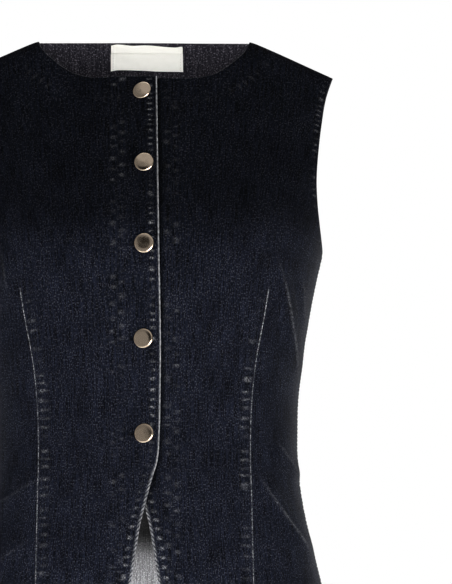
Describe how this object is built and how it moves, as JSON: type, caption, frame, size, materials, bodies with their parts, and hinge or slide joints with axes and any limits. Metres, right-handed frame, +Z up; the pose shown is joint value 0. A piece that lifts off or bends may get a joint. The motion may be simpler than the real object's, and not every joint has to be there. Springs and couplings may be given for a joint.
{
  "type": "denim vest",
  "caption": "Sleeveless fitted denim vest with a round neck, a buttoned front that parts below the waist and waist darts, filled out as when worn and hollow inside.",
  "frame": {"origin": "midway between the neck ends of the two shoulder seams, where the wearer's shoulders carry the vest", "axes": "+Z up, -Y towards the front, +X towards the wearer's left"},
  "size_m": [0.347, 0.2316, 0.565],
  "materials": {
    "denim": "dark indigo stretch denim, matt, abraded at seams and edges",
    "label_cloth": "cream woven tape, blank",
    "button_metal": "flat polished pale gold shank button"
  },
  "bodies": {
    "root": {"right_front": "denim", "left_front": "denim", "back": "denim", "back_neck_facing": "denim", "label": "label_cloth", "button_1": "button_metal", "button_2": "button_metal", "button_3": "button_metal", "button_4": "button_metal", "button_5": "button_metal"}
  },
  "joints": []
}
